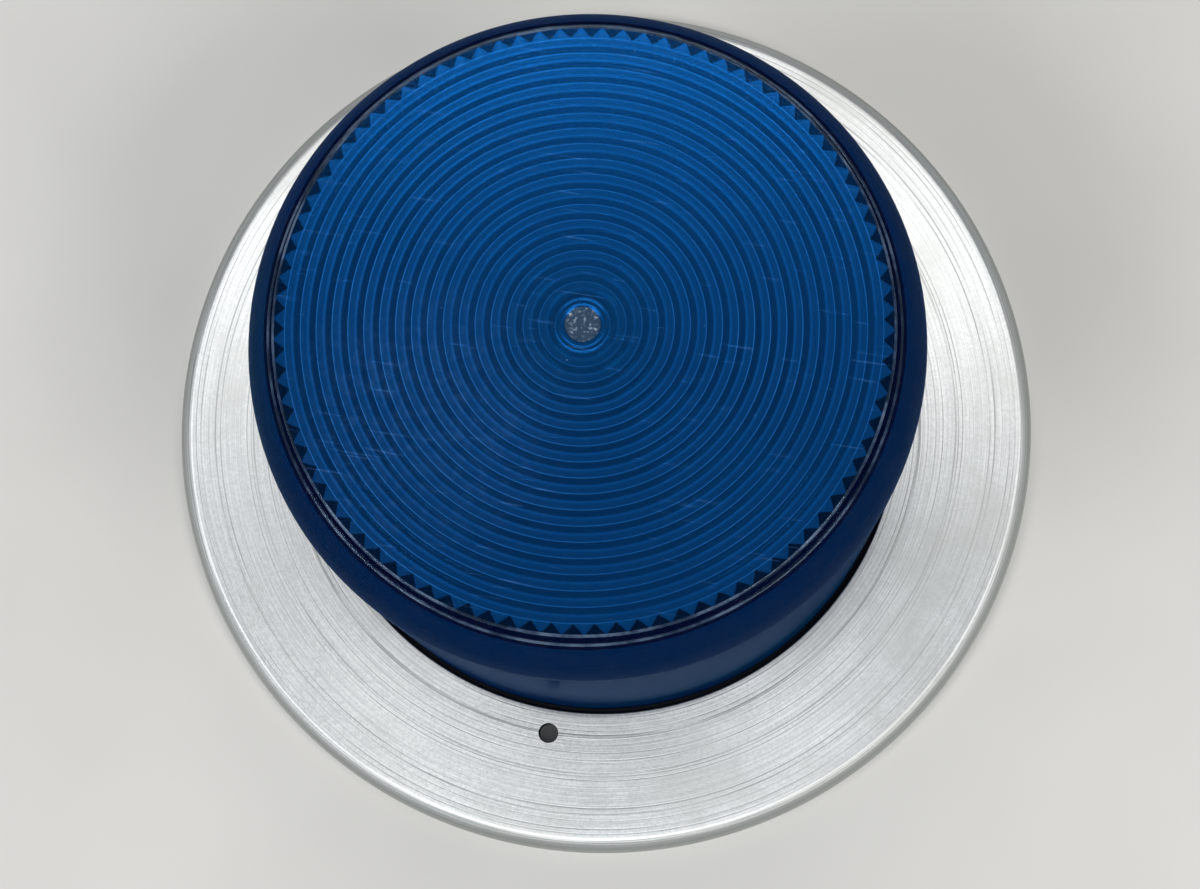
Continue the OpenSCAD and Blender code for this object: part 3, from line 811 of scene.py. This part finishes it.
def moulded(name, colour, roughness, grain=900.0, bump=0.12, lighter=1.25, specular=0.5, dusty=0.12):
    """Moulded plastic or rubber: fine grain, slow colour drift and a little dust."""
    g = Graph(name)
    drift = g.noise(g.place, 70.0, 3.0)
    fine = g.noise(g.place, grain, 4.0)
    dark = tuple(c * 0.86 for c in colour)
    light = tuple(min(1.0, c * lighter) for c in colour)
    tone = g.blend(g.spread(drift, 0.3, 0.7), dark, light)
    dust = g.spread(g.noise(g.place, 320.0, 5.0, 0.7), 0.62, 0.8, 0.0, dusty)
    g.set(Base_Color=g.blend(dust, tone, (0.5, 0.49, 0.46)), Specular_IOR_Level=specular)
    g.set(Roughness=g.spread(fine, 0.2, 0.8, roughness - 0.08, roughness + 0.1, False))
    g.set(Normal=g.bump(fine, bump, 0.1 * MM))
    return g.material


def bare_metal(name, colour, roughness, stretch=(1.0, 1.0, 1.0), bump=0.1):
    """Plain metal with drawn or rolled lines."""
    g = Graph(name)
    lines = g.noise(g.stretch(g.place, stretch), 1200.0, 3.0)
    stain = g.noise(g.place, 90.0, 4.0)
    dark = tuple(c * 0.72 for c in colour)
    tone = g.blend(g.spread(lines, 0.3, 0.7), dark, colour)
    g.set(Base_Color=g.blend(g.spread(stain, 0.55, 0.8, 0.0, 0.3), tone, dark), Metallic=1.0)
    g.set(Roughness=g.spread(lines, 0.2, 0.8, roughness - 0.06, roughness + 0.12, False))
    g.set(Normal=g.bump(lines, bump, 0.05 * MM))
    return g.material


def board_material():
    """Green solder mask with copper tracks showing through and tinned pads."""
    g = Graph("board_green")
    brick = g.add("ShaderNodeTexBrick")
    g.link(g.place, brick.inputs["Vector"])
    brick.inputs["Scale"].default_value = 120.0
    brick.inputs["Mortar Size"].default_value = 0.06
    brick.inputs["Color1"].default_value = (0.010, 0.085, 0.035, 1.0)
    brick.inputs["Color2"].default_value = (0.014, 0.110, 0.045, 1.0)
    brick.inputs["Mortar"].default_value = (0.006, 0.050, 0.022, 1.0)
    pads = g.spread(g.cells(g.place, 150.0), 0.12, 0.16, 1.0, 0.0)
    g.set(Base_Color=g.blend(pads, brick.outputs["Color"], (0.62, 0.62, 0.60)))
    g.set(Roughness=0.38, Metallic=pads)
    g.set(Normal=g.bump(brick.outputs["Fac"], 0.25, 0.05 * MM))
    return g.material


def winding_material():
    """Enamelled copper wire laid in close turns."""
    g = Graph("copper")
    wave = g.add("ShaderNodeTexWave", bands_direction="Z")
    g.link(g.place, wave.inputs["Vector"])
    wave.inputs["Scale"].default_value = 420.0
    wave.inputs["Distortion"].default_value = 0.6
    wave.inputs["Detail"].default_value = 1.0
    tone = g.blend(wave.outputs["Fac"], (0.22, 0.07, 0.025), (0.72, 0.33, 0.15))
    g.set(Base_Color=tone, Metallic=0.8, Roughness=0.34)
    g.set(Normal=g.bump(wave.outputs["Fac"], 0.6, 0.15 * MM))
    return g.material


def ferrite_material():
    """Dark grey sintered core with lamination lines."""
    g = Graph("ferrite")
    wave = g.add("ShaderNodeTexWave", bands_direction="X")
    g.link(g.place, wave.inputs["Vector"])
    wave.inputs["Scale"].default_value = 300.0
    grain = g.noise(g.place, 1500.0, 4.0)
    tone = g.blend(wave.outputs["Fac"], (0.035, 0.035, 0.038), (0.075, 0.075, 0.08))
    g.set(Base_Color=tone, Roughness=g.spread(grain, 0.2, 0.8, 0.5, 0.7, False))
    g.set(Normal=g.bump(g.math("ADD", wave.outputs["Fac"], grain), 0.3, 0.1 * MM))
    return g.material


def glass_material():
    """Clear flash tube glass with a faint smoky band."""
    g = Graph("clear_glass")
    smoke = g.noise(g.place, 160.0, 2.0)
    g.set(Base_Color=g.blend(g.spread(smoke, 0.4, 0.8), (0.96, 0.98, 1.0), (0.70, 0.74, 0.80)))
    g.set(Roughness=0.03, IOR=1.47, Transmission_Weight=1.0)
    return g.material


def sleeve_material():
    """Shrink sleeve with a pale polarity stripe of plain bars."""
    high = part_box("storage_capacitor")[1]
    g = Graph("black_sleeve")
    z = g.split(g.place)[2]
    stripe_z = high[2] - 1.6 * MM
    band = g.spread(z, stripe_z - 0.2 * MM, stripe_z, 0.0, 1.0)
    bars = g.add("ShaderNodeTexWave", bands_direction="X")
    g.link(g.place, bars.inputs["Vector"])
    bars.inputs["Scale"].default_value = 60.0
    bar = g.spread(bars.outputs["Fac"], 0.55, 0.6)
    fine = g.noise(g.place, 700.0, 3.0)
    base = g.blend(g.spread(fine, 0.3, 0.7), (0.012, 0.013, 0.016), (0.022, 0.023, 0.028))
    g.set(Base_Color=g.blend(g.math("MULTIPLY", band, bar), base, (0.55, 0.55, 0.52)))
    g.set(Roughness=0.32, Normal=g.bump(fine, 0.1, 0.05 * MM))
    return g.material


def reflector_material():
    """Bright rolled aluminium, slightly hammered."""
    g = Graph("plain_aluminium")
    ripple = g.noise(g.place, 55.0, 3.0)
    lines = g.noise(g.stretch(g.place, (1.0, 14.0, 1.0)), 600.0, 3.0)
    g.set(Base_Color=g.blend(g.spread(lines, 0.3, 0.7), (0.80, 0.82, 0.84), (0.92, 0.93, 0.94)))
    g.set(Metallic=1.0, Roughness=g.spread(ripple, 0.3, 0.7, 0.28, 0.42, False))
    g.set(Normal=g.bump(g.math("ADD", ripple, g.math("MULTIPLY", lines, 0.1)), 0.25, 0.5 * MM))
    return g.material


def finish_inner_parts():
    """Finishes for the CAD nodes that are carried over as they are."""
    rubber = moulded("black_rubber", (0.0010, 0.0018, 0.0045), 0.72, 1400.0, 0.3, 1.25, 0.12, 0.005)
    paint(rubber, "lens_gasket", "cable_bushing")
    steel = bare_metal("steel", (0.56, 0.57, 0.58), 0.32)
    paint(steel, "horn_screws", "board_screws", "terminal_screws", "reflector_screws", "standoffs")
    paint(steel, "tube_electrodes", "horn_clamp_ring")
    enamel = moulded("black_steel", (0.006, 0.006, 0.007), 0.50, 500.0, 0.25, 1.25, 0.2, 0.02)
    paint(enamel, "base_plate")
    black = moulded("black_plastic", (0.016, 0.016, 0.018), 0.42)
    paint(black, "horn_housing", "switching_transistor", "driver_chip", "diodes", "candela_switch")
    white = moulded("white_plastic", (0.72, 0.72, 0.69), 0.40, 700.0, 0.1, 1.08)
    paint(white, "capacitor_saddle", "lamp_mast", "reflector_posts", "candela_slider")
    paint(white, "volume_rotor", "tone_lever_1", "tone_lever_2", "tone_lever_3")
    paint(moulded("red_plastic", (0.42, 0.022, 0.016), 0.36), "tone_switch", "trigger_coil")
    paint(moulded("trimmer_blue", (0.015, 0.08, 0.32), 0.38), "volume_trimmer")
    paint(moulded("terminal_green", (0.012, 0.16, 0.06), 0.40), "terminal_block")
    paint(moulded("wire_red", (0.48, 0.02, 0.018), 0.44), "horn_leads", "lamp_leads")
    ceramic = moulded("ceramic_white", (0.78, 0.76, 0.70), 0.30, 500.0, 0.08, 1.05)
    paint(ceramic, "piezo_disc", "lamp_base")
    paint(bare_metal("brass", (0.80, 0.58, 0.24), 0.30, (1.0, 12.0, 1.0)), "horn_diaphragm")
    paint(bare_metal("copper_wire", (0.80, 0.42, 0.22), 0.30), "trigger_wire")
    paint(bare_metal("sink_aluminium", (0.60, 0.61, 0.62), 0.38, (1.0, 1.0, 0.1)), "heat_sink")
    paint(reflector_material(), "reflector")
    paint(board_material(), "circuit_board")
    paint(winding_material(), "transformer_winding")
    paint(ferrite_material(), "transformer_core")
    paint(glass_material(), "flash_tube")
    paint(sleeve_material(), "storage_capacitor")


# ---------------------------------------------------------------- stage, light and camera

FLOOR_HALF = 2.5
FLOOR_DROP = 0.05 * MM
FLOOR_DARK = (0.59, 0.582, 0.565)
FLOOR_LIGHT = (0.65, 0.642, 0.625)
SKY_COLOUR = (0.93, 0.96, 1.0, 1.0)
SKY_STRENGTH = 0.45
LIGHT_AIM = (0.0, 0.0, 0.05)
# name, place, size, power and colour of each light
LIGHTS = (
    ("front_left", (-0.9, -0.85, 1.4), (0.8, 0.6), 12.3, (1.0, 1.0, 1.0)),
    ("front_right", (1.05, -0.6, 1.4), (0.8, 0.6), 12.8, (1.0, 0.98, 0.93)),
    ("back_high", (-0.16, 0.80, 1.5), (1.0, 0.5), 5.4, (1.0, 0.97, 0.90)),
)


def build_floor():
    """Plain pale floor, just under the part."""
    h = FLOOR_HALF
    mesh = bpy.data.meshes.new("floor")
    mesh.from_pydata([(-h, -h, 0), (h, -h, 0), (h, h, 0), (-h, h, 0)], [], [(0, 1, 2, 3)])
    floor = bpy.data.objects.new("floor", mesh)
    floor.location.z = -FLOOR_DROP
    bpy.context.scene.collection.objects.link(floor)
    g = Graph("pale_floor")
    cloud = g.noise(g.place, 7.0, 3.0)
    fine = g.noise(g.place, 260.0, 4.0)
    tone = g.blend(g.spread(cloud, 0.3, 0.7), FLOOR_DARK, FLOOR_LIGHT)
    g.set(Base_Color=tone, Roughness=0.55, Normal=g.bump(fine, 0.06, 0.2 * MM))
    mesh.materials.append(g.material)


def area_light(name, place, size, power, colour):
    """A soft rectangular light that faces the part."""
    data = bpy.data.lights.new(name, "AREA")
    data.shape = "RECTANGLE"
    data.size, data.size_y = size
    data.energy = power
    data.color = colour
    lamp = bpy.data.objects.new(name, data)
    lamp.location = place
    direction = Vector(LIGHT_AIM) - Vector(place)
    lamp.rotation_euler = direction.to_track_quat("-Z", "Y").to_euler()
    bpy.context.scene.collection.objects.link(lamp)


def build_light():
    """Even studio sky and three soft lights."""
    world = bpy.data.worlds.new("studio")
    bpy.context.scene.world = world
    world.use_nodes = True
    background = world.node_tree.nodes["Background"]
    background.inputs["Color"].default_value = SKY_COLOUR
    background.inputs["Strength"].default_value = SKY_STRENGTH
    for light in LIGHTS:
        area_light(*light)
    bpy.context.scene.view_settings.view_transform = "Standard"


def build_camera():
    """The camera at the photograph's angle, rolled as the photograph is."""
    data = bpy.data.cameras.new("camera")
    data.lens = CAMERA_LENS
    data.sensor_width = SENSOR
    data.clip_start = 10 * MM
    camera = bpy.data.objects.new("camera", data)
    camera.location = CAMERA_AT
    direction = Vector(CAMERA_AIM) - Vector(CAMERA_AT)
    turn = direction.to_track_quat("-Z", "Y") @ Quaternion((0.0, 0.0, 1.0), CAMERA_ROLL)
    camera.rotation_mode = "QUATERNION"
    camera.rotation_quaternion = turn
    bpy.context.scene.collection.objects.link(camera)
    bpy.context.scene.camera = camera


build_camera()
build_floor()
build_light()
build_lens()
build_flange()
finish_inner_parts()
